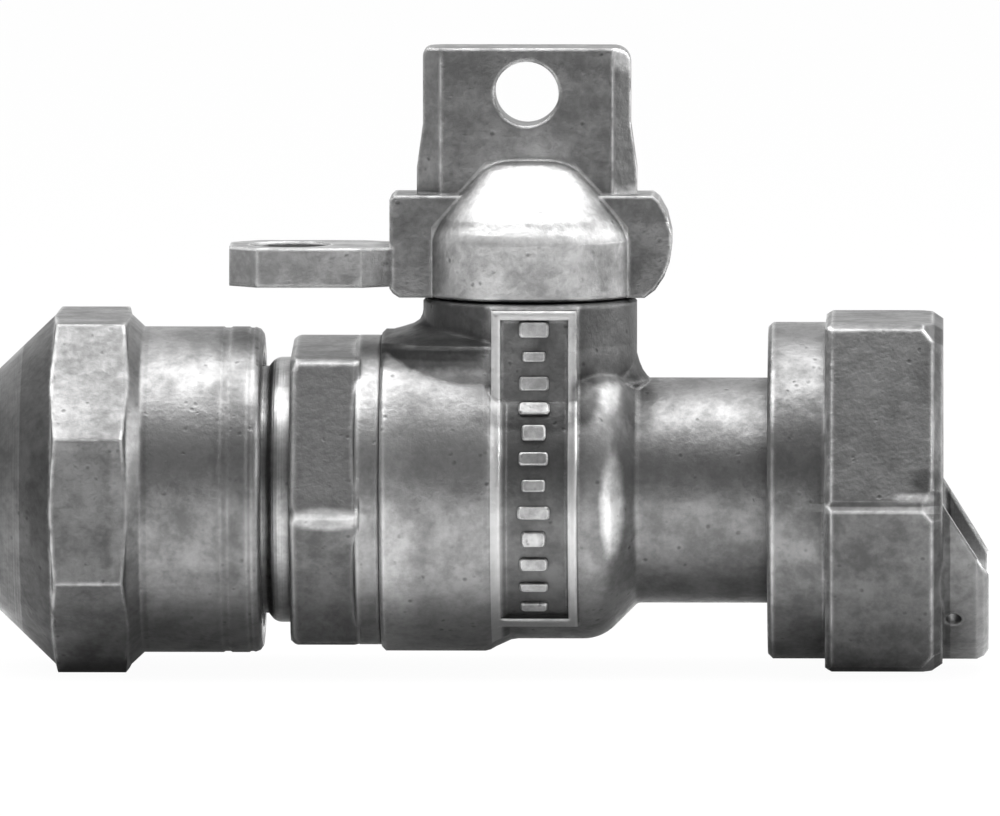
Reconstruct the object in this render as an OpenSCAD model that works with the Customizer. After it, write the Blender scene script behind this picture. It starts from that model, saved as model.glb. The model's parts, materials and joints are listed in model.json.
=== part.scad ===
// Straight ball meter valve, 3/4 inch: compression inlet on the left, swivelling saddle nut on the right.
// Millimetres, +Z up. The origin is on the pipe axis, at the face where the meter's spud seats.
// The modules are drawn about the ball's centre and moved to the origin at the end.

/* [Body] */
// Radius of the barrel that takes the end piece
barrel_r = 18.1; // [17.2:0.1:20]
// Radius of the band around the ball
band_r = 16.7; // [16:0.1:18]
// Rounding of the band's shoulder towards the tube
shoulder_round = 5.0; // [3:0.1:6]
// Outside radius of the outlet tube
tube_r = 12.65; // [12.2:0.05:13.5]
// Radius of the stem tower
tower_r = 12.0; // [11.2:0.1:13]
// Height of the tower's top above the pipe axis; stem and head follow it
tower_top = 21.7; // [21:0.1:24]
// Radius of the boss that spreads from the tower's foot
boss_r = 12.85; // [12.2:0.05:13.4]
// Height of the panel's border over its floor
panel_rise = 0.45; // [0.3:0.05:0.8]
// Width of the panel's raised border
panel_border = 1.0; // [0.6:0.1:1.4]
// Radius of the waterway in body and end piece
waterway_r = 9.2; // [8.8:0.1:9.6]

/* [Ball and seats] */
// Radius of the ball
ball_r = 13.4; // [13:0.05:13.6]
// Radius of the port through the ball
port_r = 8.6; // [7.5:0.1:8.8]
// Clear gap between ball and seat
seat_gap = 0.3; // [0.3:0.05:0.5]
// Radial thickness of a seat
seat_wall = 3.4; // [2.8:0.1:3.6]

/* [Stem] */
// Radius of the stem in its bore
stem_r = 5.5; // [5:0.1:6]
// Radial running clearance of the stem
stem_clearance = 0.05; // [0.01:0.01:0.1]
// Height of the tang's foot above the pipe axis
tang_foot = 10.9; // [10.7:0.1:11.5]
// Radius of the cross pin
pin_r = 1.6; // [1.2:0.1:1.8]

/* [Tee head] */
// Height of the plate's top above the skirt's foot
head_height = 27.95; // [25:0.05:31]
// Half width of the plate near its top
plate_half_top = 11.65; // [10.5:0.05:12.2]
// Half width of the plate at its foot
plate_half_foot = 12.35; // [12.2:0.05:13]
// Half thickness of the plate
plate_half_thick = 3.8; // [3:0.1:4.3]
// How far the cast plate sits to the wing's side of the stem
plate_shift = 0.35; // [0:0.05:0.6]
// Outside radius of the skirt
skirt_r = 11.9; // [11.5:0.1:12.5]
// Radius of the cross hole for a turning bar
bar_hole_r = 3.6; // [3:0.1:4.5]
// Radius of the padlock holes
lock_hole_r = 4.6; // [3.5:0.1:4.8]
// Distance of the padlock holes from the stem axis
lock_reach = 26.9; // [25.5:0.1:30]
// Half width of a padlock wing
wing_half = 6.8; // [6.4:0.1:7.6]

/* [Compression end] */
// Half of the octagon's width across flats
octagon_apothem = 19.65; // [19:0.05:21]
// Radius of the nut's round skirt
nut_skirt_r = 18.3; // [17.5:0.1:18.6]
// Radius of the hole for the service tube
tube_hole_r = 11.35; // [11.2:0.05:11.4]
// Outside radius of the end piece's thread
end_thread_r = 15.1; // [14.9:0.05:15.3]
// Half of the end piece's hex across flats
end_hex_apothem = 16.2; // [15.9:0.05:17]

/* [Meter end] */
// Half of the saddle nut's hex across flats
nut_hex_apothem = 19.5; // [19.1:0.05:20]
// Radius of the saddle nut's round collar
collar_r = 18.9; // [18:0.1:19]
// Minor radius of the nut's female thread
thread_minor_r = 15.6; // [15.4:0.05:15.8]
// Outside radius of the cradle
cradle_r = 18.9; // [18.2:0.1:19]
// Wall of the cradle
cradle_wall = 2.0; // [1.6:0.1:2.2]
// Length of the cradle lip past the hex
lip_length = 5.15; // [3:0.05:8]

/* [Hidden] */
$fn = 96;

// Where the origin lies, measured from the ball's centre
seat_x = 37.2;

// Stations along the pipe axis
body_left = -16.6;
spigot_end = -8.4;
seat_back = 11.0;
tube_end = 33.8;
end_left = -44.5;
socket_stop = -33.0;
end_hex_left = -26.7;
end_hex_right = -19.1;
spigot_r = 15.9;
chamber_r = 13.9;
seat_bore_r = port_r + 0.2;
seat_r = seat_bore_r + seat_wall;
seat_front = sqrt(pow(ball_r + seat_gap, 2) - pow(seat_r - 0.67, 2));
seat_ring_r = (seat_bore_r + seat_r) / 2 + 0.2;

// Tube socket, compression nut and its packing
socket_r = tube_hole_r + 0.1;
nut_left = -60.6;
nut_right = -29.9;
nut_lip = 3.4;
nut_thread_r = end_thread_r + 0.35;
pocket_r = nut_thread_r - 1.05;
packing_r = pocket_r - 0.4;
ring_bore_r = socket_r + 0.2;
gripper_left = nut_left + nut_lip + 0.3;
contact_left = gripper_left + 4.8;
gasket_left = contact_left + 1.0;
mouth_depth = 2.1;
mouth_r = socket_r + 2.15;

// Saddle nut, its ring and washer
collar_left = 26.75;
hex_left = 33.2;
hex_right = 46.35;
lip_end = hex_right + lip_length;
thread_end = 45.7;
groove_left = tube_end - 3.6;
groove_right = tube_end - 1.9;
groove_r = tube_r - 0.85;
washer_r = thread_minor_r - 0.8;
ring_outer_r = thread_minor_r - 0.6;

// Stations along the stem
thrust_top = 16.9;
washer_foot = thrust_top - 1.1;
flange_foot = thrust_top - 3.3;
flange_r = stem_r + 1.9;
ring_groove = 1.4;
bearing_top = tower_top + 2.7;
head_foot = tower_top + 0.25;
pin_height = bearing_top + 3.2;
stem_top = pin_height + 4.4;
hub_r = 8.0;
lug_r = 10.1;
stop_half_angle = 14;
stop_slack = 0.8;
stop_angle = 225;

// Cast panel, as seen from the front
boss_x = -6.3;
panel_left = -4.1;
panel_right = 5.5;
panel_foot = -14.6;
panel_top = tower_top - 0.6;
pad_front = tower_r + 1.05;
pad_r = band_r + 0.25;

brass = [0.46, 0.46, 0.45];
steel = [0.66, 0.67, 0.69];
rubber = [0.08, 0.08, 0.08];
ptfe = [0.88, 0.88, 0.85];

// Points on an arc, in polygon coordinates
function arc(cx, cy, r, a0, a1, n) = [for (i = [0:n]) [cx + r * cos(a0 + (a1 - a0) * i / n),
    cy + r * sin(a0 + (a1 - a0) * i / n)]];

// Solid turned about the pipe axis, from [radius, x] points
module turned(points) {
    rotate([0, 90, 0]) rotate_extrude() polygon(points);
}

// Round bar along the pipe axis
module rod(r, x0, x1) {
    translate([x0, 0, 0]) rotate([0, 90, 0]) cylinder(r = r, h = x1 - x0);
}

// Prism or pyramid along the pipe axis with a flat on top: sides, half widths across flats, ends
module flats(sides, apothem0, apothem1, x0, x1) {
    translate([x0, 0, 0]) rotate([0, 90, 0]) rotate([0, 0, 180 / sides])
        cylinder(r1 = apothem0 / cos(180 / sides), r2 = apothem1 / cos(180 / sides), h = x1 - x0,
            $fn = sides);
}

// Hexagon with straight bevels: depth and length of the bevel at each end
module bevelled_hex(apothem, x0, x1, depth0, length0, depth1, length1) {
    span = x1 - x0;
    intersection() {
        flats(6, apothem, apothem, x0, x1);
        flats(6, apothem - depth0, apothem - depth0 + depth0 / length0 * (span + 1), x0, x1 + 1);
        flats(6, apothem - depth1 + depth1 / length1 * (span + 1), apothem - depth1, x0 - 1, x1);
    }
}

// Slab standing in the XZ plane, half as thick each way
module slab(points, half) {
    rotate([90, 0, 0]) translate([0, 0, -half]) linear_extrude(height = 2 * half) polygon(points);
}

// O-ring about the pipe axis
module ring_x(x, mid_r, cord_r) {
    translate([x, 0, 0]) rotate([0, 90, 0]) rotate_extrude() translate([mid_r, 0]) circle(r = cord_r,
        $fn = 32);
}

// O-ring about the stem
module ring_z(z, mid_r, cord_r) {
    translate([0, 0, z]) rotate_extrude() translate([mid_r, 0]) circle(r = cord_r, $fn = 32);
}

// Wedge of angle a0 to a1 about the stem, past radius r
module wedge(r, a0, a1, z0, z1) {
    steps = 8;
    translate([0, 0, z0]) linear_extrude(height = z1 - z0)
        polygon(concat([[0, 0]], [for (i = [0:steps]) 1.3 * r * [cos(a0 + (a1 - a0) * i / steps),
            sin(a0 + (a1 - a0) * i / steps)]]));
}

// Padlock wing along +X with a waist where it leaves the casting and clipped corners at its end
module wing(waist_x, waist_half, z0, z1) {
    tip = lock_reach + wing_half;
    clip = 3.2;
    translate([0, 0, z0]) linear_extrude(height = z1 - z0)
        polygon([[0, -waist_half], [waist_x, -waist_half], [waist_x + 3.8, -wing_half], [tip - clip,
            -wing_half],
            [tip, clip - wing_half], [tip, wing_half - clip], [tip - clip, wing_half], [waist_x + 3.8,
                wing_half],
            [waist_x, waist_half], [0, waist_half]]);
}

// Outside of the body, turned about the pipe axis
function body_outline() = let (
        c = 1 - cos(45), s = sin(45), shoulder_x = 6.0, root = 0.9,
        root_x = shoulder_x + (shoulder_round + root) * s + band_r - tube_r - (shoulder_round + root) * c)
    concat(
        [[0, body_left], [barrel_r - 0.45, body_left], [barrel_r, body_left + 0.45], [barrel_r, -5.0]],
        [[barrel_r - 0.15, -4.4], [barrel_r - 0.55, -3.7], [band_r + 0.45, -2.8], [band_r + 0.12, -2.1],
            [band_r, -1.3]],
        arc(band_r - shoulder_round, shoulder_x, shoulder_round, 0, 45, 8),
        arc(tube_r + root, root_x, root, 225, 180, 4),
        [[tube_r, groove_left], [groove_r, groove_left], [groove_r, groove_right], [tube_r, groove_right],
            [tube_r, tube_end - 0.4], [tube_r - 0.4, tube_end], [0, tube_end]]);

// Layer of the cast panel: flat in front of the tower, curved round the band
module panel_layer(rise, inset) {
    x0 = panel_left + inset;
    width = panel_right - panel_left - 2 * inset;
    translate([x0, -pad_front - rise, 8]) cube([width, 8, panel_top - inset - 8]);
    intersection() {
        rod(pad_r + rise, panel_left - 1, panel_right + 1);
        translate([x0, -20, panel_foot + inset]) cube([width, 18, 13 - panel_foot - inset]);
    }
}

// Raised border of the cast panel over its floor
module panel() {
    panel_layer(0, 0.3);
    difference() {
        panel_layer(panel_rise, 0);
        translate([panel_left + panel_border, -25, panel_foot + panel_border])
            cube([panel_right - panel_left - 2 * panel_border, 30,
                panel_top - panel_foot - 2 * panel_border]);
    }
}

// Boss at the tower's foot, cut off flush with the barrel's end
module foot_boss() {
    intersection() {
        translate([boss_x, 0, 0]) rotate_extrude()
            polygon([[0, 0], [boss_r, 0], [boss_r, 16.5], [boss_r - 0.3, 17.0], [boss_r - 2.2, 17.6],
                [boss_r - 4.85, 18.35], [boss_r - 6.05, 18.75], [boss_r - 6.75, 19.2],
                [boss_r - 7.05, 19.8], [boss_r - 7.2, 20.6], [0, 20.6]]);
        translate([body_left + 0.1, -20, -1]) cube([30, 40, 30]);
    }
}

// Blend of the tower's far side into the outlet tube
module tube_gusset() {
    reach = tower_r - 5.0;
    translate([5, 0, 0]) rotate_extrude()
        polygon([[0, 9], [reach + 1.6, 9], [reach + 1.6, 12.5], [reach + 1.15, 12.9], [reach + 0.65, 13.6],
            [reach + 0.28, 14.5], [reach - 0.2, 16.2], [0, 16.2]]);
}

module valve_body() {
    color(brass) difference() {
        union() {
            turned(body_outline());
            rotate_extrude() polygon([[0, 0], [tower_r, 0], [tower_r, tower_top - 0.35],
                [tower_r - 0.35, tower_top], [0, tower_top]]);
            foot_boss();
            tube_gusset();
            cylinder(r = hub_r, h = bearing_top);
            intersection() {
                cylinder(r = lug_r, h = bearing_top);
                wedge(lug_r, stop_angle - stop_half_angle, stop_angle + stop_half_angle, tower_top - 1.7,
                    bearing_top);
            }
            rotate([0, 0, 90]) wing(14.0, 5.6, tower_top - 4.5, tower_top - 0.1);
            panel();
        }
        turned([[0, body_left - 1], [spigot_r, body_left - 1], [spigot_r, spigot_end], [chamber_r,
            spigot_end],
            [chamber_r, 8.0], [seat_r, 8.0], [seat_r, seat_back], [waterway_r, seat_back],
            [waterway_r, tube_end + 1], [0, tube_end + 1]]);
        turned([[seat_ring_r - 0.6, seat_back - 0.2], [seat_ring_r + 0.6, seat_back - 0.2],
            [seat_ring_r + 0.6, seat_back + 1.2], [seat_ring_r - 0.6, seat_back + 1.2]]);
        translate([0, 0, 8]) cylinder(r = flange_r + 0.3, h = thrust_top - 8);
        translate([0, 0, 8]) cylinder(r = stem_r + stem_clearance, h = bearing_top);
        translate([0, lock_reach, 10]) cylinder(r = lock_hole_r, h = 20);
    }
}

module end_piece() {
    color(brass) difference() {
        union() {
            turned(concat(
                [[0, end_left], [end_thread_r - 0.4, end_left], [end_thread_r, end_left + 0.4],
                    [end_thread_r, -31.4], [end_thread_r - 1.2, -30.6], [end_thread_r - 1.2, -29.3]],
                arc(end_thread_r - 1.7, -27.8, 1.5, -55, 0, 5),
                [[end_thread_r - 0.2, end_hex_left], [end_thread_r - 0.2, -20], [17.2, -19.3], [17.4, -19.1],
                    [17.4, body_left - 0.1], [17.3, body_left], [spigot_r, body_left], [spigot_r, -15.6],
                    [14.3, -15.6], [14.3, -13.8], [spigot_r, -13.8], [spigot_r, spigot_end - 0.02], [0,
                        spigot_end - 0.02]]));
            rotate([4.5, 0, 0]) intersection() {
                bevelled_hex(end_hex_apothem, end_hex_left, end_hex_right + 0.2, 0.35, 0.45, 0.2, 0.6);
                turned([[0, -27], [end_hex_apothem + 1.2, -27], [end_hex_apothem + 2.3, -25.9],
                    [end_hex_apothem + 2.3, -18], [0, -18]]);
            }
        }
        turned([[0, end_left - 1], [mouth_r + 0.5, end_left - 1], [mouth_r, end_left],
            [socket_r, end_left + mouth_depth], [socket_r, socket_stop], [waterway_r, socket_stop],
            [waterway_r, -seat_back], [seat_r, -seat_back], [seat_r, spigot_end + 1], [0, spigot_end + 1]]);
        turned([[seat_ring_r - 0.6, -seat_back - 1.2], [seat_ring_r + 0.6, -seat_back - 1.2],
            [seat_ring_r + 0.6, -seat_back + 0.2], [seat_ring_r - 0.6, -seat_back + 0.2]]);
    }
}

module body_o_ring() {
    color(rubber) ring_x(-14.7, 15.1, 0.8);
}

module ball() {
    color(steel) difference() {
        sphere(r = ball_r);
        rod(port_r, -ball_r - 1, ball_r + 1);
        translate([-2.5, -ball_r, tang_foot - 0.1]) cube([5, 2 * ball_r, 6]);
    }
}

// Seat on the outlet side; the inlet one is its mirror image
module seat() {
    difference() {
        turned([[seat_bore_r, seat_front], [seat_r, seat_front], [seat_r, seat_back], [seat_bore_r,
            seat_back]]);
        sphere(r = ball_r + seat_gap);
    }
}

module inlet_seat() {
    color(ptfe) rotate([0, 0, 180]) seat();
}

module outlet_seat() {
    color(ptfe) seat();
}

module inlet_seat_o_ring() {
    color(rubber) ring_x(-seat_back - 0.6, seat_ring_r, 0.6);
}

module outlet_seat_o_ring() {
    color(rubber) ring_x(seat_back + 0.6, seat_ring_r, 0.6);
}

module stem() {
    low = thrust_top + 1.3;
    high = thrust_top + 4.3;
    color(brass) difference() {
        union() {
            rotate_extrude() polygon([[0, flange_foot], [flange_r - 0.3, flange_foot],
                [flange_r, flange_foot + 0.3], [flange_r, washer_foot], [stem_r, washer_foot], [stem_r, low],
                [stem_r - 1.25, low], [stem_r - 1.25, low + ring_groove], [stem_r, low + ring_groove],
                [stem_r, high], [stem_r - 1.25, high], [stem_r - 1.25, high + ring_groove],
                [stem_r, high + ring_groove], [stem_r, bearing_top], [0, bearing_top]]);
            translate([-2.4, -5.2, tang_foot]) cube([4.8, 10.4, 3]);
            intersection() {
                translate([0, 0, bearing_top - 0.1])
                    cylinder(r = stem_r - 0.5, h = stem_top - bearing_top + 0.1);
                translate([-8, 1.5 - stem_r, 20]) cube([16, 2 * stem_r - 3, 20]);
            }
        }
        translate([0, 0, pin_height]) rod(pin_r, -8, 8);
    }
}

module stem_washer() {
    color(ptfe) difference() {
        translate([0, 0, washer_foot]) cylinder(r = flange_r, h = 1.0);
        translate([0, 0, washer_foot - 1]) cylinder(r = stem_r, h = 3);
    }
}

module stem_o_ring_lower() {
    color(rubber) ring_z(thrust_top + 1.3 + ring_groove / 2, stem_r - 0.62, 0.62);
}

module stem_o_ring_upper() {
    color(rubber) ring_z(thrust_top + 4.3 + ring_groove / 2, stem_r - 0.62, 0.62);
}

// Flat plate of the head, with its long edges bevelled
module head_plate() {
    edge = plate_half_foot - 2.7;
    translate([-plate_shift, 0, 0]) intersection() {
        slab(concat([[-plate_half_foot, 5], [-plate_half_foot, 14.4], [-plate_half_top, 19.4]],
            arc(-plate_half_top + 0.9, head_height - 0.9, 0.9, 180, 90, 4),
            arc(plate_half_top - 1.7, head_height - 1.7, 1.7, 90, 0, 5),
            [[plate_half_top, 19.4], [plate_half_foot, 14.4], [plate_half_foot, 5]]), plate_half_thick);
        linear_extrude(height = head_height + 5)
            polygon([[-plate_half_foot - 0.6, 1.0], [-edge, plate_half_thick], [edge, plate_half_thick],
                [plate_half_foot + 0.6, 1.0], [plate_half_foot + 0.6, -1.0], [edge, -plate_half_thick],
                [-edge, -plate_half_thick], [-plate_half_foot - 0.6, -1.0]]);
    }
}

// The head above its skirt's foot, before its holes
module head_casting() {
    head_plate();
    rotate_extrude() polygon([[0, 0], [skirt_r - 0.3, 0], [skirt_r, 0.3], [skirt_r, 6.4], [skirt_r - 0.3,
        7.4],
        [skirt_r - 1.0, 8.8], [skirt_r - 2.9, 11.4], [skirt_r - 5.3, 14.3], [skirt_r - 6.1, 14.9],
        [skirt_r - 7.0, 15.25], [skirt_r - 8.2, 15.35], [0, 15.35]]);
    slab([[-15.7, 1.0], [-15.3, 0.45], [-14.6, 0], [-6, 0], [-6, 11.45], [-15.2, 11.45], [-15.7, 10.95]],
        4.6);
    slab([[6, 0], [12.9, 0], [14.1, 0.9], [15.1, 2.4], [15.7, 4.0], [15.9, 5.6], [15.9, 7.2], [15.4, 9.3],
        [14.5, 10.9], [13.8, 11.45], [6, 11.45]], 4.5);
    rotate([0, 0, 180]) wing(15.0, 4.4, 1.25, 5.65);
}

module tee_head() {
    recess = bearing_top + 0.3 - head_foot;
    color(brass) translate([0, 0, head_foot]) difference() {
        head_casting();
        translate([0, 0, -2]) cylinder(r = hub_r + 0.4, h = recess + 2);
        intersection() {
            translate([0, 0, -2]) cylinder(r = lug_r + 0.4, h = recess + 2);
            wedge(lug_r + 0.4, stop_angle - stop_half_angle - stop_slack,
                stop_angle + stop_half_angle + stop_slack + 90, -2, recess);
        }
        intersection() {
            translate([0, 0, 2]) cylinder(r = stem_r - 0.5, h = stem_top - head_foot - 2);
            translate([-8, 1.5 - stem_r, -2]) cube([16, 2 * stem_r - 3, 20]);
        }
        translate([0, 0, pin_height - head_foot]) rod(pin_r, -12.5, 18);
        translate([-plate_shift, 10, head_height - 5.1]) rotate([90, 0, 0]) cylinder(r = bar_hole_r, h = 20);
        translate([-lock_reach, 0, -2]) cylinder(r = lock_hole_r, h = 12);
    }
}

module head_pin() {
    color(steel) translate([0, 0, pin_height]) rod(pin_r, -12.5, 15.2);
}

module compression_nut() {
    color(brass) difference() {
        union() {
            intersection() {
                rotate([3, 0, 0]) flats(8, octagon_apothem, octagon_apothem, nut_left - 1, nut_left + 18);
                turned([[0, nut_left], [12.6, nut_left], [octagon_apothem + 0.05, nut_left + 7.4],
                    [octagon_apothem + 2.4, nut_left + 8.0], [octagon_apothem + 2.4, nut_left + 15.2],
                    [octagon_apothem + 0.05, nut_left + 15.8], [nut_skirt_r, nut_left + 17.3],
                    [0, nut_left + 17.3]]);
            }
            turned([[0, nut_left + 16], [nut_skirt_r, nut_left + 16], [nut_skirt_r, nut_right - 4.5],
                [nut_skirt_r - 0.12, nut_right - 4.3], [nut_skirt_r - 0.12, nut_right - 3.7],
                [nut_skirt_r, nut_right - 3.5], [nut_skirt_r, nut_right - 1.6],
                [nut_skirt_r - 0.12, nut_right - 1.4],
                [nut_skirt_r - 0.12, nut_right - 1.1], [nut_skirt_r - 0.05, nut_right - 0.9],
                [nut_skirt_r - 0.25, nut_right - 0.35], [nut_skirt_r - 0.75, nut_right], [0, nut_right]]);
        }
        turned([[0, nut_left - 1], [tube_hole_r, nut_left - 1], [tube_hole_r, nut_left + nut_lip],
            [pocket_r - 0.8, nut_left + nut_lip], [pocket_r, nut_left + nut_lip + 1.8], [pocket_r, -46.2],
            [nut_thread_r, -46.2], [nut_thread_r, nut_right + 1], [0, nut_right + 1]]);
    }
}

module gripper_band() {
    color(steel) difference() {
        turned([[ring_bore_r, gripper_left], [packing_r - 0.8, gripper_left], [packing_r,
            gripper_left + 1.8],
            [packing_r, contact_left], [ring_bore_r, contact_left]]);
        translate([gripper_left - 3, -1.2, 0]) cube([10, 2.4, 20]);
    }
}

module contact_ring() {
    color(brass) turned([[ring_bore_r, contact_left], [packing_r, contact_left], [packing_r, gasket_left],
        [ring_bore_r, gasket_left]]);
}

module compression_gasket() {
    nose = end_left + mouth_depth - 1.05;
    color(rubber) turned([[socket_r, gasket_left], [packing_r, gasket_left], [packing_r, end_left - 0.5],
        [mouth_r - 0.3, end_left - 0.2], [socket_r + 0.55, nose], [socket_r, nose]]);
}

module saddle_nut() {
    color(brass) difference() {
        union() {
            turned([[0, collar_left], [collar_r - 0.55, collar_left], [collar_r, collar_left + 0.55],
                [collar_r, hex_left + 0.9], [0, hex_left + 0.9]]);
            intersection() {
                bevelled_hex(nut_hex_apothem, hex_left, hex_right, 0.5, 0.75, 0.8, 1.2);
                turned([[0, hex_left - 1], [nut_hex_apothem + 2.7, hex_left - 1],
                    [nut_hex_apothem + 2.7, hex_right - 2.2], [nut_hex_apothem + 0.6, hex_right + 1],
                    [0, hex_right + 1]]);
            }
            intersection() {
                turned([[0, 45], [cradle_r, 45], [cradle_r, lip_end - 1.3], [cradle_r - 0.4, lip_end - 0.5],
                    [cradle_r - 1.1, lip_end], [0, lip_end]]);
                slab([[44, 1.0], [hex_right - 0.7, 1.0], [lip_end, -8.2], [lip_end + 1, -8.2],
                    [lip_end + 1, -30],
                    [44, -30]], 30);
            }
        }
        turned([[0, collar_left - 1], [tube_r + 0.35, collar_left - 1], [tube_r + 0.35, 30.0],
            [thread_minor_r + 1.0, 30.0], [thread_minor_r + 1.0, seat_x - 0.6], [thread_minor_r, seat_x],
            [thread_minor_r, thread_end], [cradle_r - cradle_wall, thread_end + 0.9],
            [cradle_r - cradle_wall, lip_end + 1], [0, lip_end + 1]]);
        translate([47.6, 0, 0]) rotate([135, 0, 0]) translate([0, 0, 12]) cylinder(r = 0.9, h = 12);
    }
}

module retaining_ring() {
    color(steel) difference() {
        turned([[groove_r + 0.05, groove_left + 0.1], [ring_outer_r, groove_left + 0.1],
            [ring_outer_r, groove_right - 0.1], [groove_r + 0.05, groove_right - 0.1]]);
        translate([groove_left - 4, -1.5, 0]) cube([10, 3, 20]);
    }
}

module meter_washer() {
    color(rubber) turned([[waterway_r + 0.4, tube_end], [washer_r, tube_end], [washer_r, tube_end + 3],
        [waterway_r + 0.4, tube_end + 3]]);
}

// Moves the model from the ball's centre to the origin
module placed() {
    translate([-seat_x, 0, 0]) children();
}

placed() valve_body();
placed() end_piece();
placed() body_o_ring();
placed() ball();
placed() inlet_seat();
placed() outlet_seat();
placed() inlet_seat_o_ring();
placed() outlet_seat_o_ring();
placed() stem();
placed() stem_washer();
placed() stem_o_ring_lower();
placed() stem_o_ring_upper();
placed() tee_head();
placed() head_pin();
placed() compression_nut();
placed() gripper_band();
placed() contact_ring();
placed() compression_gasket();
placed() saddle_nut();
placed() retaining_ring();
placed() meter_washer();
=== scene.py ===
import json
import math
import bmesh
import bpy
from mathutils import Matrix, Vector


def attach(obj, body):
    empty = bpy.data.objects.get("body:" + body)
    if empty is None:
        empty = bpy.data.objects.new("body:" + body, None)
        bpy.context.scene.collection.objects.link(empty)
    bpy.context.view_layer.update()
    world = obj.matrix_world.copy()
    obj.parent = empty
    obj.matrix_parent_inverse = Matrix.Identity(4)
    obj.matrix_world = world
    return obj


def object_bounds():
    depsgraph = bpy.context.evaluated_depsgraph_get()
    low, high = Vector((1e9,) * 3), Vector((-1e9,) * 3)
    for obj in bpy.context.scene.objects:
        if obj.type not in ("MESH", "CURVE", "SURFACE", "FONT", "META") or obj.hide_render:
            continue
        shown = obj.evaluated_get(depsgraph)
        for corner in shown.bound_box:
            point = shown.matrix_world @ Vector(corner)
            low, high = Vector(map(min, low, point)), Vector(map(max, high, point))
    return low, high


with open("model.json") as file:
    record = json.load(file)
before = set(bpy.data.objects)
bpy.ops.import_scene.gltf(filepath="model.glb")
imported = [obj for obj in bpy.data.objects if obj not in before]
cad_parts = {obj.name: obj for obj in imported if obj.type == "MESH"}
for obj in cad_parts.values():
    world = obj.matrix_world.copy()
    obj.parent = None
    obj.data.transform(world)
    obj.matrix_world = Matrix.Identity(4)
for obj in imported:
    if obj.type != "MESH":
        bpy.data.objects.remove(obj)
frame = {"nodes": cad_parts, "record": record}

# Lengths are in metres. The origin is on the pipe axis, where the meter thread starts.

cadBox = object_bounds()
nodes = frame["nodes"]
joints = {joint["name"]: joint for joint in frame["record"]["behaviour"]["joints"]}
ballX = joints["quarter_turn"]["pos_m"][0]  # the stem axis and the centre of the ball
# The floor of the raised panel: how far its flat part is in front of the axis, and the round part's radius.
panelFloor = {"Front": 0.01305, "Round": 0.01695}
print("frame loaded:", len(nodes), "nodes")


# Camera

cameraSetup = {
    "aim": (ballX - 0.0034, 0.0, 0.0092),
    "elevation": 4.5,  # degrees above the pipe
    "turn": 1.2,  # degrees round towards the meter end
    "distance": 2.75,
    "frameWidth": 0.1123,  # metres across the picture at the pipe axis
    "sensorWidth": 36,
    "clip": (0.05, 20),
}


def makeCamera(setup):
    data = bpy.data.cameras.new("camera")
    data.sensor_width = setup["sensorWidth"]
    data.lens = setup["sensorWidth"] * setup["distance"] / setup["frameWidth"]
    data.clip_start, data.clip_end = setup["clip"]
    camera = bpy.data.objects.new("camera", data)
    bpy.context.scene.collection.objects.link(camera)
    tilt, turn = math.radians(setup["elevation"]), math.radians(setup["turn"])
    back = Vector((math.sin(turn) * math.cos(tilt), -math.cos(turn) * math.cos(tilt), math.sin(tilt)))
    camera.location = Vector(setup["aim"]) + back * setup["distance"]
    camera.rotation_euler = (-back).to_track_quat("-Z", "Y").to_euler()
    bpy.context.scene.camera = camera


makeCamera(cameraSetup)
print("camera placed")


# Node helpers, for shader and geometry trees


def newMaterial(name):
    material = bpy.data.materials.new(name)
    material.use_nodes = True
    tree = material.node_tree
    tree.nodes.clear()
    return material, tree, tree.nodes.new("ShaderNodeOutputMaterial")


def addNode(tree, kind, **settings):
    node = tree.nodes.new(kind)
    for key, value in settings.items():
        setattr(node, key, value)
    return node


def grey(value):
    return (value, value, value, 1)


# Links a socket to another one, or gives it a value of its own.
def feed(tree, socket, value):
    if isinstance(value, bpy.types.NodeSocket):
        tree.links.new(value, socket)
    elif socket.type == "RGBA" and len(value) == 3:
        socket.default_value = (*value, 1)
    else:
        socket.default_value = value


def mathNode(tree, operation, first, second=None, clamp=False):
    node = addNode(tree, "ShaderNodeMath", operation=operation, use_clamp=clamp)
    feed(tree, node.inputs[0], first)
    if second is not None:
        feed(tree, node.inputs[1], second)
    return node.outputs[0]


def vectorNode(tree, operation, first, second=None):
    node = addNode(tree, "ShaderNodeVectorMath", operation=operation)
    feed(tree, node.inputs[0], first)
    if second is not None:
        feed(tree, node.inputs[1], second)
    return node.outputs["Value"] if operation in ("LENGTH", "DOT_PRODUCT") else node.outputs[0]


# A smooth step from toLow, where the value is low, to toHigh, where it is high.
def mapRange(tree, value, low, high, toLow=0.0, toHigh=1.0):
    node = addNode(tree, "ShaderNodeMapRange", interpolation_type="SMOOTHSTEP")
    feed(tree, node.inputs["Value"], value)
    for key, number in (("From Min", low), ("From Max", high), ("To Min", toLow), ("To Max", toHigh)):
        feed(tree, node.inputs[key], number)
    return node.outputs[0]


def mixFloat(tree, factor, first, second):
    node = addNode(tree, "ShaderNodeMix", data_type="FLOAT")
    for socket, value in ((node.inputs[0], factor), (node.inputs[2], first), (node.inputs[3], second)):
        feed(tree, socket, value)
    return node.outputs[0]


def mixColour(tree, factor, first, second, blend="MIX"):
    node = addNode(tree, "ShaderNodeMix", data_type="RGBA", blend_type=blend)
    for socket, value in ((node.inputs[0], factor), (node.inputs[6], first), (node.inputs[7], second)):
        feed(tree, socket, value)
    return node.outputs[2]


def splitVector(tree, vector):
    node = addNode(tree, "ShaderNodeSeparateXYZ")
    tree.links.new(vector, node.inputs[0])
    return tuple(node.outputs)


def joinVector(tree, x, y, z=0.0):
    node = addNode(tree, "ShaderNodeCombineXYZ")
    for socket, value in zip(node.inputs, (x, y, z)):
        feed(tree, socket, value)
    return node.outputs[0]


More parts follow.
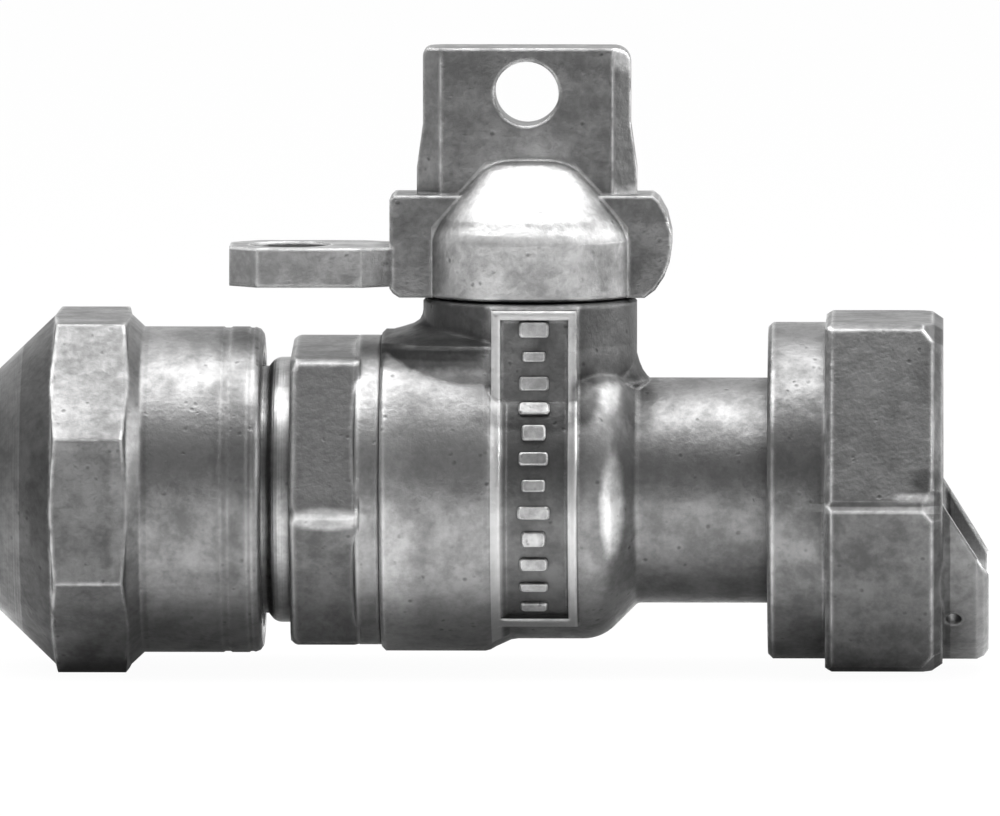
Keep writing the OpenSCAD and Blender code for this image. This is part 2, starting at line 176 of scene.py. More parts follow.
def noise(tree, vector, scale, detail, rough):
    node = addNode(tree, "ShaderNodeTexNoise")
    for key, value in (("Vector", vector), ("Scale", scale), ("Detail", detail), ("Roughness", rough)):
        feed(tree, node.inputs[key], value)
    return node.outputs[0]


# Inputs and outputs give each label its kind of socket, such as Float or Vector.
def newGroup(name, inputs, outputs, kind="ShaderNodeTree"):
    group = bpy.data.node_groups.new(name, kind)
    for side, sockets in (("INPUT", inputs), ("OUTPUT", outputs)):
        for label, socketKind in sockets.items():
            group.interface.new_socket(label, in_out=side, socket_type="NodeSocket" + socketKind)
    return group, group.nodes.new("NodeGroupInput"), group.nodes.new("NodeGroupOutput")


def useGroup(tree, group, vector, **values):
    node = addNode(tree, "ShaderNodeGroup", node_tree=group)
    tree.links.new(vector, node.inputs["Vector"])
    for key, value in values.items():
        feed(tree, node.inputs[key], value)
    return node.outputs


# Effects that the cast finishes share. A noise is given as scale, detail and roughness, and a pair of
# numbers as where a smooth step starts and ends.

edgeRubAndHighlightForm = {
    "samples": 4,
    "turned": (0.995, 0.91),  # cosine of the angle between the rounded normal and the true one
    "patchNoise": (420, 3, 0.6),
    "patchStep": (0.3, 0.62),
    "openStep": (0.55, 0.9),
}


# Rubbed edges and a painted edge highlight: where the normal, rounded over Width, turns from the true one.
# Open is 0 in hollows.
def makeEdgeRubAndHighlight(form):
    inputs = {"Vector": "Vector", "Width": "Float", "Breakup": "Float", "Reach": "Float"}
    group, source, sink = newGroup("edgeRubAndHighlight", inputs, {"Mask": "Float", "Open": "Float", "Normal": "Vector"})
    given = source.outputs
    rounded = addNode(group, "ShaderNodeBevel", samples=form["samples"])
    group.links.new(given["Width"], rounded.inputs["Radius"])
    geometry = addNode(group, "ShaderNodeNewGeometry")
    turn = vectorNode(group, "DOT_PRODUCT", rounded.outputs[0], geometry.outputs["Normal"])
    turn = mapRange(group, turn, *form["turned"])
    hollow = addNode(group, "ShaderNodeAmbientOcclusion", samples=form["samples"])
    group.links.new(given["Reach"], hollow.inputs["Distance"])
    openness = hollow.outputs["AO"]
    patchy = mapRange(group, noise(group, given["Vector"], *form["patchNoise"]), *form["patchStep"])
    kept = mixFloat(group, given["Breakup"], 1.0, patchy)
    mask = mathNode(group, "MULTIPLY", turn, kept, clamp=True)
    mask = mathNode(group, "MULTIPLY", mask, mapRange(group, openness, *form["openStep"]))
    group.links.new(mask, sink.inputs["Mask"])
    group.links.new(openness, sink.inputs["Open"])
    group.links.new(rounded.outputs[0], sink.inputs["Normal"])
    return group


castSkinForm = {
    "grainNoise": (1250, 5, 0.66),
    "lumpNoise": (340, 3, 0.55),
    "slowNoise": (110, 3, 0.55),
    "pitScale": 780,
    "pitStep": (0.30, 0.06),
    "pittedStep": (0.54, 0.62),  # pits lie only where the lumps are high
    "lumpHeight": 1.3,
    "pitDepth": 0.7,
    "slowShare": 0.40, "lumpShare": 0.35, "grainShare": 0.25,
    "evenTone": 0.5,
    "toneStep": (0.36, 0.64),
}


# Sand-cast skin: fine grain, soft lumps, slow mottling and shallow pits, from one vector.
def makeCastSkin(form):
    inputs = {"Vector": "Vector", "Grain": "Float", "Mottle": "Float", "Pits": "Float"}
    group, source, sink = newGroup("castSkin", inputs, {"Height": "Float", "Tone": "Float", "Pit": "Float"})
    given = source.outputs
    grain = noise(group, given["Vector"], *form["grainNoise"])
    lumps = noise(group, given["Vector"], *form["lumpNoise"])
    slow = noise(group, given["Vector"], *form["slowNoise"])
    cells = addNode(group, "ShaderNodeTexVoronoi", feature="F1")
    cells.inputs["Scale"].default_value = form["pitScale"]
    group.links.new(given["Vector"], cells.inputs["Vector"])
    pit = mapRange(group, cells.outputs["Distance"], *form["pitStep"])
    pit = mathNode(group, "MULTIPLY", pit, mapRange(group, lumps, *form["pittedStep"]))
    pit = mathNode(group, "MULTIPLY", pit, given["Pits"])
    height = mathNode(group, "MULTIPLY", grain, given["Grain"])
    height = mathNode(group, "ADD", height, mathNode(group, "MULTIPLY", lumps, form["lumpHeight"]))
    height = mathNode(group, "SUBTRACT", height, mathNode(group, "MULTIPLY", pit, form["pitDepth"]))
    tone = mathNode(group, "MULTIPLY", slow, form["slowShare"])
    tone = mathNode(group, "ADD", tone, mathNode(group, "MULTIPLY", lumps, form["lumpShare"]))
    tone = mathNode(group, "ADD", tone, mathNode(group, "MULTIPLY", grain, form["grainShare"]))
    tone = mixFloat(group, given["Mottle"], form["evenTone"], mapRange(group, tone, *form["toneStep"]))
    group.links.new(height, sink.inputs["Height"])
    group.links.new(tone, sink.inputs["Tone"])
    group.links.new(pit, sink.inputs["Pit"])
    return group


latheForm = {"pitch": 5200.0, "marks": (1.0, 3, 0.7), "edgeStep": (-0.00005, 0.00005)}


# Marks of a lathe: fine rings about the pipe axis, inside Radius only.
def makeLatheMarks(form):
    inputs = {"Vector": "Vector", "Radius": "Float"}
    group, source, sink = newGroup("latheMarks", inputs, {"Height": "Float", "Mask": "Float"})
    x, y, z = splitVector(group, source.outputs["Vector"])
    radius = vectorNode(group, "LENGTH", joinVector(group, y, z))
    line = joinVector(group, mathNode(group, "MULTIPLY", x, form["pitch"]),
                      mathNode(group, "MULTIPLY", radius, form["pitch"]))
    inside = mathNode(group, "SUBTRACT", source.outputs["Radius"], radius)
    group.links.new(noise(group, line, *form["marks"]), sink.inputs["Height"])
    group.links.new(mapRange(group, inside, *form["edgeStep"]), sink.inputs["Mask"])
    return group


# A patch about Centre, out to Reach along each axis, round or square. Soft and Ragged shape its border.
def makePatch():
    inputs = {"Vector": "Vector", "Centre": "Vector", "Reach": "Vector", "Square": "Float",
              "Soft": "Float", "Ragged": "Float", "Wobble": "Float"}
    group, source, sink = newGroup("patch", inputs, {"Mask": "Float"})
    given = source.outputs
    away = vectorNode(group, "SUBTRACT", given["Vector"], given["Centre"])
    away = vectorNode(group, "ABSOLUTE", vectorNode(group, "DIVIDE", away, given["Reach"]))
    x, y, z = splitVector(group, away)
    longest = mathNode(group, "MAXIMUM", mathNode(group, "MAXIMUM", x, y), z)
    distance = mixFloat(group, given["Square"], vectorNode(group, "LENGTH", away), longest)
    ragged = mathNode(group, "MULTIPLY", given["Wobble"], given["Ragged"])
    distance = mathNode(group, "ADD", distance, ragged)
    outer = mathNode(group, "ADD", given["Soft"], 1.0)
    inner = mathNode(group, "SUBTRACT", 1.0, given["Soft"])
    group.links.new(mapRange(group, distance, outer, inner), sink.inputs["Mask"])
    return group


headConeForm = {
    "fade": 0.0009,  # over which the skirt's tone ends, below Tip
    "wobbleNoise": (380, 3, 0.5),
    "wobble": 0.003,
    "coneStep": (-0.0017, -0.0003),  # height about Foot over which the cone's tone starts
}


# The turned skirt of the tee head about its Axis, up to Tip over Foot, and its Cone from about Foot on.
def makeHeadCone(form):
    inputs = {"Vector": "Vector", "Axis": "Float", "Foot": "Float", "Radius": "Float", "Slope": "Float",
              "Tip": "Float", "Outside": "Float"}
    group, source, sink = newGroup("headCone", inputs, {"Skirt": "Float", "Cone": "Float"})
    given = source.outputs
    x, y, z = splitVector(group, given["Vector"])
    across = mathNode(group, "SUBTRACT", x, given["Axis"])
    radius = vectorNode(group, "LENGTH", joinVector(group, across, y))
    rise = mathNode(group, "SUBTRACT", z, given["Foot"])
    sloped = mathNode(group, "ADD", radius, mathNode(group, "MULTIPLY", rise, given["Slope"]))
    inCone = mathNode(group, "LESS_THAN", sloped, given["Radius"])
    inSkirt = mathNode(group, "LESS_THAN", radius, given["Outside"])
    fadeStart = mathNode(group, "SUBTRACT", given["Tip"], form["fade"])
    skirt = mathNode(group, "MULTIPLY", inCone, inSkirt)
    skirt = mathNode(group, "MULTIPLY", skirt, mapRange(group, rise, given["Tip"], fadeStart))
    wobble = mathNode(group, "SUBTRACT", noise(group, given["Vector"], *form["wobbleNoise"]), 0.5)
    wavy = mathNode(group, "ADD", rise, mathNode(group, "MULTIPLY", wobble, form["wobble"]))
    cone = mathNode(group, "MULTIPLY", skirt, mapRange(group, wavy, *form["coneStep"]))
    group.links.new(skirt, sink.inputs["Skirt"])
    group.links.new(cone, sink.inputs["Cone"])
    return group


panelReliefForm = {
    "raisedStep": (0.00022, 0.0004),
    "floorTop": (0.0003, 0.0001),
    "floorUnder": (-0.0002, -0.00005),
}


# Raised parts and Floor of the cast panel, by the height over its floor: flat above Bend, round below it.
def makePanelRelief(form):
    inputs = {"Vector": "Vector", "Front": "Float", "Round": "Float", "Bend": "Float", "Middle": "Float",
              "Half": "Float", "Near": "Float", "Top": "Float"}
    group, source, sink = newGroup("panelRelief", inputs, {"Raised": "Float", "Floor": "Float"})
    given = source.outputs
    x, y, z = splitVector(group, given["Vector"])
    flatRise = mathNode(group, "SUBTRACT", mathNode(group, "MULTIPLY", y, -1.0), given["Front"])
    radius = vectorNode(group, "LENGTH", joinVector(group, y, z))
    roundRise = mathNode(group, "SUBTRACT", radius, given["Round"])
    rise = mixFloat(group, mathNode(group, "GREATER_THAN", z, given["Bend"]), roundRise, flatRise)
    across = mathNode(group, "ABSOLUTE", mathNode(group, "SUBTRACT", x, given["Middle"]))
    within = mathNode(group, "LESS_THAN", across, given["Half"])
    within = mathNode(group, "MULTIPLY", within, mathNode(group, "LESS_THAN", y, given["Near"]))
    within = mathNode(group, "MULTIPLY", within, mathNode(group, "LESS_THAN", z, given["Top"]))
    raised = mapRange(group, rise, *form["raisedStep"])
    onFloor = mathNode(group, "MULTIPLY", mapRange(group, rise, *form["floorTop"]),
                       mapRange(group, rise, *form["floorUnder"]))
    group.links.new(mathNode(group, "MULTIPLY", within, raised), sink.inputs["Raised"])
    group.links.new(mathNode(group, "MULTIPLY", within, onFloor), sink.inputs["Floor"])
    return group


edgeRubAndHighlight, castSkin = makeEdgeRubAndHighlight(edgeRubAndHighlightForm), makeCastSkin(castSkinForm)
latheMarks, patch = makeLatheMarks(latheForm), makePatch()
headCone, panelRelief = makeHeadCone(headConeForm), makePanelRelief(panelReliefForm)
print("shared shader groups made:", len(bpy.data.node_groups))


# Cast bronze. Tones are greys, as in the photograph. A patch multiplies the tone under it, and many patches
# paint shade or highlights. It may set a rough of its own, and keeps only a share of the rubbed edges and
# their painted edge highlight. It is round, or a block where square is 1, and soft and ragged are shares of
# its reach. Its place and reach are in millimetres from the centre of the ball.

castLook = {
    "metallic": 1.0,
    "dark": 0.115, "light": 0.225,
    "pit": 0.07, "pitShare": 0.8,
    # the colour is darkened in hollows that ambient occlusion finds
    "hollowDark": 0.03, "hollowDarkAmount": 0.62, "hollowReach": 0.0022, "hollowDarkStep": (0.35, 0.9),
    # edge is the light grey of rubbed edges, which also paints a highlight along them
    "edge": 0.72, "edgeWidth": 0.0007, "edgeBreakup": 0.75, "edgeShine": 0.9, "edgePolish": 0.06,
    "roughHigh": 0.50, "roughLow": 0.38,
    "bump": 0.55, "bumpDistance": 0.0001, "grain": 1.0, "mottle": 1.0, "pits": 0.8,
    "boreRadius": 0.0, "boreTone": 1.5, "borePolish": 0.08, "boreGrain": 0.3,
    "wobbleNoise": (520, 3, 0.6),
    "patches": [],
}


def inMetres(x, y, z):
    return (x / 1000, y / 1000, z / 1000)


def fromBall(x, y, z):
    return (ballX + x / 1000, y / 1000, z / 1000)


def tint(tree, coat, mask, tone):
    coat["colour"] = mixColour(tree, mask, coat["colour"], grey(tone), "MULTIPLY")


# Bored and turned surfaces within boreRadius of the pipe axis.
def layBore(tree, place, look, coat):
    marks = useGroup(tree, latheMarks, place, Radius=look["boreRadius"])
    turned = marks["Mask"]
    tint(tree, coat, turned, look["boreTone"])
    polish = mathNode(tree, "MULTIPLY", turned, look["borePolish"])
    coat["rough"] = mathNode(tree, "SUBTRACT", coat["rough"], polish)
    grain = mathNode(tree, "MULTIPLY", coat["height"], look["boreGrain"])
    ringed = mathNode(tree, "ADD", marks["Height"], grain)
    coat["height"] = mixFloat(tree, turned, coat["height"], ringed)


def layPanel(tree, place, panel, coat, tone):
    relief = useGroup(tree, panelRelief, place, **panel["form"])
    # the panel's floor is darkened: painted shade in the recess
    tint(tree, coat, relief["Floor"], panel["floorTone"])
    worn = mathNode(tree, "MULTIPLY", relief["Raised"], mixFloat(tree, tone, *panel["wear"]))
    coat["colour"] = mixColour(tree, worn, coat["colour"], grey(panel["border"]))


def layPatches(tree, place, look, coat):
    wobble = mathNode(tree, "SUBTRACT", noise(tree, place, *look["wobbleNoise"]), 0.5)
    for spot in look["patches"]:
        mask = useGroup(tree, patch, place, Centre=fromBall(*spot["at"]), Reach=inMetres(*spot["reach"]),
                        Square=spot.get("square", 0.0), Soft=spot["soft"], Ragged=spot.get("ragged", 0.3),
                        Wobble=wobble)["Mask"]
        tint(tree, coat, mask, spot["tone"])
        if "rough" in spot:
            coat["rough"] = mixFloat(tree, mask, coat["rough"], spot["rough"])
        if "rubAndHighlight" in spot:
            remains = mixFloat(tree, mask, 1.0, spot["rubAndHighlight"])
            coat["rubbedAndHighlit"] = mathNode(tree, "MULTIPLY", coat["rubbedAndHighlit"], remains)


def layCone(tree, place, cone, coat):
    head = useGroup(tree, headCone, place, **cone["form"])
    tint(tree, coat, head["Skirt"], cone["skirtTone"])
    tint(tree, coat, head["Cone"], cone["coneTone"])
    coat["rough"] = mixFloat(tree, head["Cone"], coat["rough"], cone["coneRough"])


# The Principled shader at the end of every finish, with its bump.
def addShade(tree, output, look, colour, rough, height, normal=None):
    lift = addNode(tree, "ShaderNodeBump")
    values = {"Strength": look["bump"], "Distance": look["bumpDistance"], "Height": height}
    if normal is not None:
        values["Normal"] = normal
    for key, value in values.items():
        feed(tree, lift.inputs[key], value)
    shade = addNode(tree, "ShaderNodeBsdfPrincipled")
    values = {"Metallic": look["metallic"], "Base Color": colour, "Roughness": rough}
    for key, value in values.items():
        feed(tree, shade.inputs[key], value)
    tree.links.new(lift.outputs[0], shade.inputs["Normal"])
    tree.links.new(shade.outputs[0], output.inputs[0])


def makeCastMetal(name, look):
    material, tree, output = newMaterial(name)
    place = addNode(tree, "ShaderNodeTexCoord").outputs["Object"]
    skin = useGroup(tree, castSkin, place, Grain=look["grain"], Mottle=look["mottle"], Pits=look["pits"])
    rubAndHighlight = useGroup(tree, edgeRubAndHighlight, place, Width=look["edgeWidth"], Breakup=look["edgeBreakup"],
                   Reach=look["hollowReach"])
    tone = skin["Tone"]
    pitted = mathNode(tree, "MULTIPLY", skin["Pit"], look["pitShare"], clamp=True)
    base = mixColour(tree, tone, grey(look["dark"]), grey(look["light"]))
    coat = {
        "colour": mixColour(tree, pitted, base, grey(look["pit"])),
        "rough": mixFloat(tree, tone, look["roughHigh"], look["roughLow"]),
        "height": skin["Height"],
        "rubbedAndHighlit": rubAndHighlight["Mask"],
    }
    if look["boreRadius"] > 0:
        layBore(tree, place, look, coat)
    if "panel" in look:
        layPanel(tree, place, look["panel"], coat, tone)
    if look["patches"]:
        layPatches(tree, place, look, coat)
    if "cone" in look:
        layCone(tree, place, look["cone"], coat)
    # darker in hollows
    hollowDark = mapRange(tree, rubAndHighlight["Open"], *look["hollowDarkStep"], look["hollowDarkAmount"], 0.0)
    colour = mixColour(tree, hollowDark, coat["colour"], grey(look["hollowDark"]))
    # rubbed edges are lightened, which also paints a highlight along them
    bright = mathNode(tree, "MULTIPLY", coat["rubbedAndHighlit"], look["edgeShine"], clamp=True)
    colour = mixColour(tree, bright, colour, grey(look["edge"]))
    polish = mathNode(tree, "MULTIPLY", coat["rubbedAndHighlit"], look["edgePolish"])
    rough = mathNode(tree, "SUBTRACT", coat["rough"], polish)
    addShade(tree, output, look, colour, rough, coat["height"], rubAndHighlight["Normal"])
    return material


bodyLook = dict(castLook, dark=0.165, light=0.30, boreRadius=0.0122, boreTone=1.4)
bodyLook["panel"] = {
    # painted shade on the panel's floor
    "floorTone": 0.5,
    "border": 0.46,
    "wear": (0.75, 1.0),  # share of the border's tone where the casting is dark, and where it is light
    "form": {"Middle": ballX + 0.0007, "Half": 0.00485, "Bend": 0.0108, "Near": -0.006, "Top": 0.0212,
             **panelFloor},
}
bodyLook["patches"] = [
    # the tower's upper end, under the head
    {"at": (0, 0, 19.8), "reach": (12.4, 12.4, 3), "square": 1.0, "soft": 0.05, "tone": 0.75, "rough": 0.55},
    # painted shade on the tower's right side
    {"at": (9.8, 0, 17.5), "reach": (4.4, 14, 4.9), "square": 1.0, "soft": 0.12, "tone": 0.36, "rough": 0.55,
     "rubAndHighlight": 0.2},
    # painted shade on the foot left of the tower, and on its lower rim
    {"at": (-10.9, 0, 19.0), "reach": (6.2, 17, 4.6), "square": 1.0, "soft": 0.12, "tone": 0.42, "rubAndHighlight": 0.0},
    {"at": (-11.0, 0, 16.6), "reach": (5.7, 17, 1.2), "square": 1.0, "soft": 0.2, "tone": 0.55},
    # painted highlight on the ridge of the right shoulder, and a painted highlight over it
    {"at": (9.35, 0, -0.6), "reach": (1.5, 22, 6.2), "soft": 0.3, "tone": 5.0, "rough": 0.38},
    {"at": (9.2, 0, 11.4), "reach": (1.1, 22, 2.0), "soft": 0.35, "tone": 1.9},
    # shade on both sides of that spot
    {"at": (6.3, -12, 11.4), "reach": (1.6, 8, 3.4), "soft": 0.3, "tone": 0.42},
    {"at": (12.3, -10, 11.0), "reach": (2.0, 9, 3.4), "soft": 0.3, "tone": 0.45},
    # painted shade along the bend of the panel
    {"at": (0.7, -15, 9.2), "reach": (6.0, 6, 1.5), "soft": 0.3, "tone": 0.5},
    # painted highlight on the barrel's left end
    {"at": (-16, 0, -3), "reach": (5.0, 22, 17), "soft": 0.25, "tone": 1.5},
    # the outlet tube
    {"at": (25, 0, 0), "reach": (13, 22, 22), "square": 1.0, "soft": 0.05, "tone": 0.82},
]
bodyCasting = makeCastMetal("bodyCasting", bodyLook)

endLook = dict(castLook, boreRadius=0.0155, boreTone=2.6, edgeBreakup=0.5, edgeWidth=0.0009)
endLook["patches"] = [
    # painted highlight on the front corner of the hex, then on the flange
    {"at": (-22.6, -19, -1.9), "reach": (4.0, 5, 1.25), "soft": 0.3, "tone": 3.0},
    {"at": (-17.5, 0, 0), "reach": (1.7, 30, 30), "square": 1.0, "soft": 0.1, "tone": 1.5},
]
endCasting = makeCastMetal("endCasting", endLook)

nutLook = dict(castLook, boreRadius=0.0162, boreTone=1.5)
nutLook["patches"] = [
    # the sloped left end of the octagon, and painted shade on its front face
    {"at": (-60, 0, 0), "reach": (6.9, 30, 30), "square": 1.0, "soft": 0.03, "tone": 0.42},
    {"at": (-51, -20, -2.3), "reach": (4.6, 4, 8.2), "square": 1.0, "soft": 0.12, "tone": 0.72},
    # the right end of the octagon, the skirt's end and the skirt
    {"at": (-43.9, 0, 0), "reach": (1.3, 30, 30), "square": 1.0, "soft": 0.1, "tone": 0.85, "rubAndHighlight": 0.3},
    {"at": (-32.3, 0, 0), "reach": (3.0, 30, 30), "square": 1.0, "soft": 0.1, "tone": 1.0, "rubAndHighlight": 0.4},
    {"at": (-40, 0, 0), "reach": (5.0, 30, 30), "square": 1.0, "soft": 0.1, "tone": 1.15},
]
nutCasting = makeCastMetal("nutCasting", nutLook)

skirtFoot = 0.02195
headLook = dict(castLook)
headLook["cone"] = {
    "skirtTone": 2.4,
    "coneTone": 0.62,
    "coneRough": 0.42,
    "form": {"Axis": ballX, "Foot": skirtFoot + 0.0088, "Radius": 0.01125, "Slope": 0.78, "Tip": 0.0066,
             "Outside": 0.01195},
}
headLook["patches"] = [
    # painted light on the front of the padlock wing
    {"at": (-27, 0, 25.4), "reach": (11.2, 8, 3), "square": 1.0, "soft": 0.05, "tone": 1.6},
    # painted highlight on the cone's front and the brim under it
    {"at": (0.3, -9, 34.3), "reach": (6.2, 12, 5.6), "soft": 0.35, "tone": 1.8},
    {"at": (0.3, -11, 29.5), "reach": (8.0, 8, 1.1), "soft": 0.4, "tone": 1.5},
    # painted shade on the skirt's right side, and the blade's right end darker
    {"at": (10.6, -12, 26.0), "reach": (4.8, 7, 5.5), "soft": 0.45, "tone": 0.22, "rough": 0.6},
    {"at": (10.9, 0, 41.0), "reach": (1.9, 8, 6.6), "square": 1.0, "soft": 0.1, "tone": 0.36},
]
headCasting = makeCastMetal("headCasting", headLook)

saddleLook = dict(castLook, dark=0.105, light=0.21, boreRadius=0.0169, boreTone=1.6, hollowDarkAmount=0.4)
saddleLook["patches"] = [
    # the hex, painted shade in the gap beside it, and the cradle's lip
    {"at": (40, 0, 0), "reach": (6.5, 30, 30), "square": 1.0, "soft": 0.03, "tone": 0.74},
    {"at": (46.3, 0, 0), "reach": (0.9, 30, 30), "square": 1.0, "soft": 0.1, "tone": 0.5, "rubAndHighlight": 0.25},
    {"at": (49.8, 0, -10), "reach": (2.7, 30, 14), "square": 1.0, "soft": 0.1, "tone": 0.9, "rubAndHighlight": 0.5},
    # a painted highlight along the edge between two faces of the hex
    {"at": (39.2, -21, -0.45), "reach": (6.4, 4, 0.4), "square": 1.0, "soft": 0.3, "tone": 2.3},
    # painted shade in the small notch at the hex's right end, and a painted highlight on its lip
    {"at": (44.7, -21.5, 2.9), "reach": (1.9, 4, 1.4), "soft": 0.4, "ragged": 0.8, "tone": 0.5},
    {"at": (43.2, -21.8, 0.9), "reach": (2.0, 4, 0.5), "soft": 0.5, "ragged": 1.4, "tone": 3.0},
]
saddleCasting = makeCastMetal("saddleCasting", saddleLook)

turnedLook = dict(castLook, dark=0.20, light=0.34, grain=0.4, pits=0.2, mottle=0.6,
                  boreRadius=0.03, boreTone=1.2)
turnedBronze = makeCastMetal("turnedBronze", turnedLook)
reliefLook = dict(castLook, dark=0.22, light=0.5, edgeWidth=0.0002, pits=1.0)
reliefBronze = makeCastMetal("reliefBronze", reliefLook)


# Finishes of the pieces inside

plainLook = {
    "metallic": 0.0, "grainScale": 900, "grainDetail": (4, 0.6), "spread": 0.25, "toneStep": (0.35, 0.65),
    "roughStep": (0.3, 0.7), "roughSpread": 0.06, "bump": 0.3, "bumpDistance": 0.00005,
}


def makePlain(name, look):
    material, tree, output = newMaterial(name)
    place = addNode(tree, "ShaderNodeTexCoord").outputs["Object"]
    grain = noise(tree, place, look["grainScale"], *look["grainDetail"])
    dull = tuple(part * (1 - look["spread"]) for part in look["colour"])
    colour = mixColour(tree, mapRange(tree, grain, *look["toneStep"]), dull, look["colour"])
    smoothest, roughest = look["rough"] - look["roughSpread"], look["rough"] + look["roughSpread"]
    rough = mapRange(tree, grain, *look["roughStep"], smoothest, roughest)
    addShade(tree, output, look, colour, rough, grain)
    return material


sealRubber = makePlain("sealRubber", dict(
    plainLook, colour=(0.03, 0.03, 0.03), rough=0.62, grainScale=1800, bump=0.4))
seatPlastic = makePlain("seatPlastic", dict(
    plainLook, colour=(0.78, 0.78, 0.75), rough=0.35, grainScale=500, bump=0.15, spread=0.08))
springSteel = makePlain("springSteel", dict(
    plainLook, colour=(0.55, 0.56, 0.57), rough=0.3, metallic=1.0, grainScale=1400, bump=0.2))
platedBall = makePlain("platedBall", dict(
    plainLook, colour=(0.66, 0.66, 0.67), rough=0.12, metallic=1.0, grainScale=300, bump=0.05, spread=0.1))

castingOf = {"valve_body": bodyCasting, "end_piece": endCasting, "tee_head": headCasting,
             "compression_nut": nutCasting, "saddle_nut": saddleCasting}
finishOf = {"turned_bronze": turnedBronze, "stainless": springSteel, "plated_ball": platedBall,
            "seat_plastic": seatPlastic, "seal_rubber": sealRubber}
for row in frame["record"]["subparts"]:
    piece = nodes[row["node"]]
    piece.data.materials.clear()
    piece.data.materials.append(castingOf.get(row["node"]) or finishOf[row["material_slot"]])
print("materials set on", len(nodes), "nodes")


# Pieces grown by rule

mergeDistance = 1e-6


def growPiece(name, tree, values, material, body):
    grower = bpy.data.objects.new(name, bpy.data.meshes.new(name + "Seed"))
    bpy.context.scene.collection.objects.link(grower)
    modifier = grower.modifiers.new("grow", "NODES")
    modifier.node_group = tree
    for item in tree.interface.items_tree:
        if item.in_out == "INPUT":
            modifier[item.identifier] = material if item.name == "Material" else values[item.name]
    graph = bpy.context.evaluated_depsgraph_get()
    graph.update()
    mesh = bpy.data.meshes.new_from_object(grower.evaluated_get(graph))
    grower.modifiers.remove(modifier)
    grower.data = mesh
    shape = bmesh.new()
    shape.from_mesh(mesh)
    bmesh.ops.remove_doubles(shape, verts=shape.verts, dist=mergeDistance)
    bmesh.ops.recalc_face_normals(shape, faces=shape.faces)
    shape.to_mesh(mesh)
    shape.free()
    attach(grower, body)


# A new geometry tree whose inputs are its material, whole numbers and sizes.
def newTree(name, wholes, sizes):
    inputs = {"Material": "Material"}
    inputs.update({label: "Int" for label in wholes})
    inputs.update({label: "Float" for label in sizes})
    return newGroup(name, inputs, {"Geometry": "Geometry"}, "GeometryNodeTree")


def mergeByDistance(tree, geometry):
    merge = addNode(tree, "GeometryNodeMergeByDistance")
    merge.inputs["Distance"].default_value = mergeDistance
    tree.links.new(geometry, merge.inputs["Geometry"])
    return merge.outputs[0]


def setPosition(tree, geometry, position):
    move = addNode(tree, "GeometryNodeSetPosition")
    tree.links.new(geometry, move.inputs["Geometry"])
    tree.links.new(position, move.inputs["Position"])
    return move.outputs[0]


def endTree(tree, source, sink, geometry):
    realize = addNode(tree, "GeometryNodeRealizeInstances")
    finish = addNode(tree, "GeometryNodeSetMaterial")
    tree.links.new(geometry, realize.inputs[0])
    tree.links.new(realize.outputs[0], finish.inputs["Geometry"])
    tree.links.new(source.outputs["Material"], finish.inputs["Material"])
    tree.links.new(finish.outputs[0], sink.inputs[0])


# A screw thread's ridge about the pipe axis: a four-sided bar, wound on a grid and run out at both ends.
# Its corners are numbered 0 to 4 round the bar, the last on the first; 1 and 2 are at the crest.
def makeThreadTree():
    sizes = ("Start", "Pitch", "Turns", "Root", "Crest", "Foot Width", "Crest Width")
    tree, source, sink = newTree("threadRidge", ("Steps",), sizes)
    given = source.outputs
    sides = 4
    runOutTurns = 0.5
    grid = addNode(tree, "GeometryNodeMeshGrid")
    grid.inputs["Size X"].default_value = 1.0
    grid.inputs["Size Y"].default_value = sides
    grid.inputs["Vertices Y"].default_value = sides + 1
    tree.links.new(given["Steps"], grid.inputs["Vertices X"])
    along, corner = splitVector(tree, addNode(tree, "GeometryNodeInputPosition").outputs[0])[:2]
    along = mathNode(tree, "ADD", along, 0.5)
    corner = mathNode(tree, "ADD", corner, sides / 2)

    def isCorner(first, second):  # 1 at these two neighbours, which lie half a step off their middle
        away = mathNode(tree, "ABSOLUTE", mathNode(tree, "SUBTRACT", corner, (first + second) / 2))
        return mathNode(tree, "LESS_THAN", away, 0.9)

    turnCount = mathNode(tree, "MULTIPLY", along, given["Turns"])
    fromEnd = mathNode(tree, "SUBTRACT", given["Turns"], turnCount)
    runOut = mathNode(tree, "DIVIDE", mathNode(tree, "MINIMUM", turnCount, fromEnd), runOutTurns, clamp=True)
    atCrest = isCorner(1, 2)
    side = mathNode(tree, "SUBTRACT", mathNode(tree, "MULTIPLY", isCorner(2, 3), 2.0), 1.0)
    width = mixFloat(tree, atCrest, given["Foot Width"], given["Crest Width"])
    shift = mathNode(tree, "MULTIPLY", mathNode(tree, "MULTIPLY", width, 0.5), side)
    shift = mathNode(tree, "MULTIPLY", shift, runOut)
    radius = mixFloat(tree, mathNode(tree, "MULTIPLY", atCrest, runOut), given["Root"], given["Crest"])
    angle = mathNode(tree, "MULTIPLY", turnCount, 2 * math.pi)
    x = mathNode(tree, "ADD", given["Start"], mathNode(tree, "MULTIPLY", given["Pitch"], turnCount))
    x = mathNode(tree, "ADD", x, shift)
    y = mathNode(tree, "MULTIPLY", radius, mathNode(tree, "COSINE", angle))
    z = mathNode(tree, "MULTIPLY", radius, mathNode(tree, "SINE", angle))
    wound = setPosition(tree, grid.outputs[0], joinVector(tree, x, y, z))
    endTree(tree, source, sink, mergeByDistance(tree, wound))
    return tree


